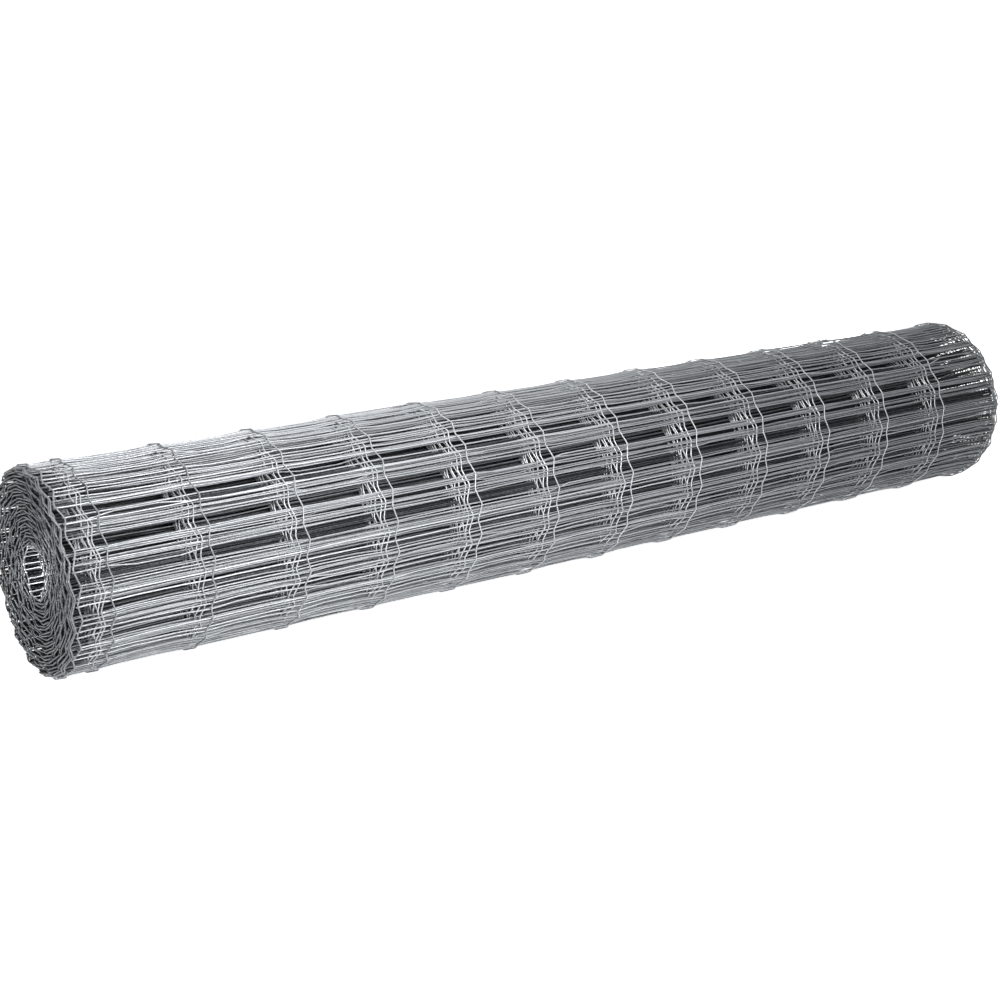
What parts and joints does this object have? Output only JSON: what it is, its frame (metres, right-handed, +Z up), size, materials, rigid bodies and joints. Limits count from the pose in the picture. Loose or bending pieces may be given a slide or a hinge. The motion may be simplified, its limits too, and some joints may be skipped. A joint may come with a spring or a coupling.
{
  "type": "roll of wire fencing",
  "caption": "Roll of galvanised wire mesh fencing lying on its side, with raised rings of line wire, bands of stay wires with open slots between them, wound ends and an open bore.",
  "frame": {"origin": "under the middle of the roll, on the floor it lies on", "axes": "+X along the roll's axis, away from the edge with the close-set line wires; +Z up"},
  "size_m": [1.5, 0.25, 0.25],
  "materials": {
    "galvanised_wire": "galvanised wire, satin, dark between the turns"
  },
  "bodies": {
    "root": {"fence_roll": "galvanised_wire"}
  },
  "joints": []
}
